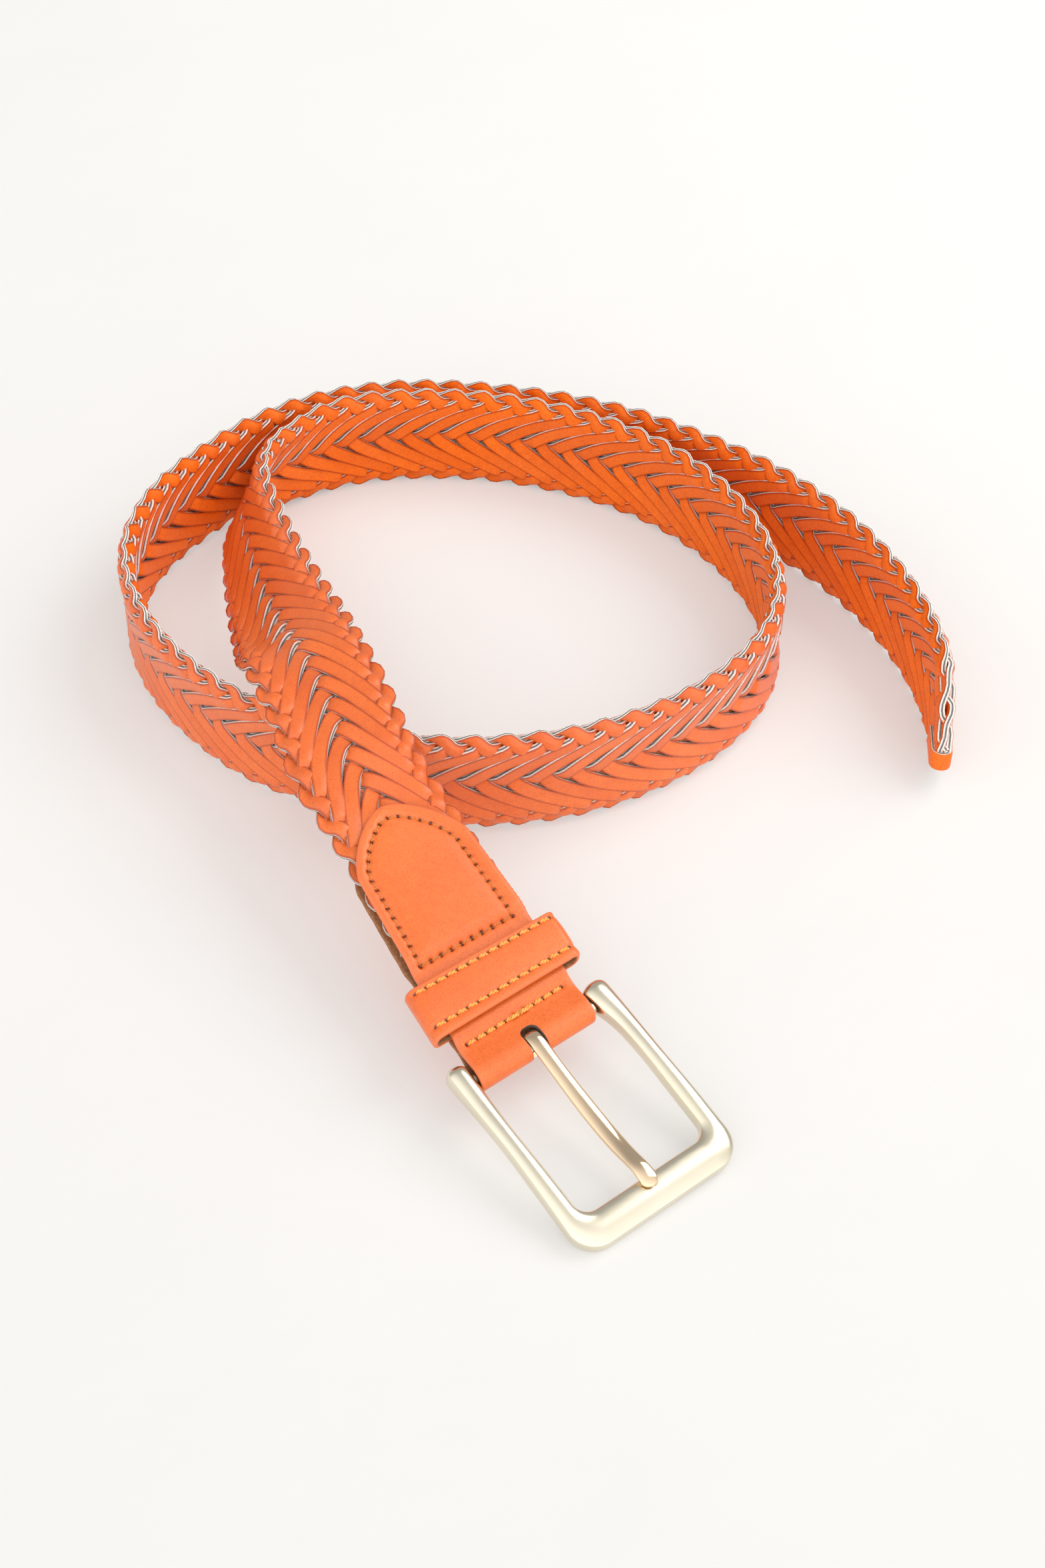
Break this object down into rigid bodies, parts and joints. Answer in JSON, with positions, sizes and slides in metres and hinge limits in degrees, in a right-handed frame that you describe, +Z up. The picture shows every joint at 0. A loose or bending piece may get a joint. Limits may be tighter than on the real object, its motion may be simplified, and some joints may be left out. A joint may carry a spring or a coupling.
{
  "type": "braided leather belt",
  "caption": "Braided leather strap belt, half coiled on its edge, with a metal frame buckle, swinging prong, stitched leather tab, sliding keeper loop and free tail.",
  "frame": {"origin": "middle of the belt's bounding box in plan, at floor level", "axes": "+Z up from the floor the coil stands on, +Y away from the buckle end, +X to the right with the buckle nearest"},
  "size_m": [0.2356, 0.2998, 0.0416],
  "materials": {
    "nickel": "satin pale nickel plating",
    "prong_metal": "polished warm plating",
    "leather": "smooth orange leather with painted edges",
    "braid": "orange faced strips with pale layered cut edges",
    "thread": "waxed golden orange thread"
  },
  "bodies": {
    "coil": {"braid_twist": "braid", "braid_first_turn": "braid", "braid_right_turn": "braid", "braid_front": "braid", "braid_left_turn": "braid"},
    "buckle_end": {"tab_leather": "leather", "tab_outline_thread": "thread", "turnback_thread": "thread", "braid_tab_end": "braid"},
    "keeper": {"keeper_band": "leather", "keeper_lining": "leather", "keeper_thread_front": "thread", "keeper_thread_rear": "thread"},
    "buckle": {"buckle_frame": "nickel", "buckle_bar": "nickel"},
    "prong": {"prong": "prong_metal"},
    "tail_1": {"braid_tail_1": "braid"},
    "tail_2": {"braid_tail_2": "braid"},
    "tail_3": {"braid_tail_3": "braid", "tail_end_wrap": "leather"}
  },
  "joints": [
    {"name": "strap_lift", "type": "hinge", "parent": "coil", "child": "buckle_end", "pos_m": [-0.05807, 0.01064, 0.03857], "axis": [-0.9194, -0.3901, -0.0507], "range_deg": [0, 45]},
    {"name": "keeper_slide", "type": "slide", "parent": "buckle_end", "child": "keeper", "axis": [0.5192, -0.8245, -0.2249], "range_m": [-0.0022, 0.0004]},
    {"name": "buckle_swing", "type": "hinge", "parent": "buckle_end", "child": "buckle", "pos_m": [0.00237, -0.09844, 0.01406], "axis": [-0.7936, -0.6081, -0.0212], "range_deg": [-50, 15]},
    {"name": "prong_swing", "type": "hinge", "parent": "buckle", "child": "prong", "pos_m": [0.00237, -0.09844, 0.01406], "axis": [-0.7936, -0.6081, -0.0212], "range_deg": [0, 80]},
    {"name": "tail_bend_1", "type": "hinge", "parent": "coil", "child": "tail_1", "pos_m": [-0.02696, 0.14726, 0.0175], "axis": [0, 0, 1], "range_deg": [0, 30]},
    {"name": "tail_bend_2", "type": "hinge", "parent": "tail_1", "child": "tail_2", "pos_m": [0.03123, 0.134, 0.0175], "axis": [0, 0, 1], "range_deg": [-5, 30]},
    {"name": "tail_bend_3", "type": "hinge", "parent": "tail_2", "child": "tail_3", "pos_m": [0.07823, 0.10214, 0.0175], "axis": [0, 0, 1], "range_deg": [-15, 35]}
  ]
}
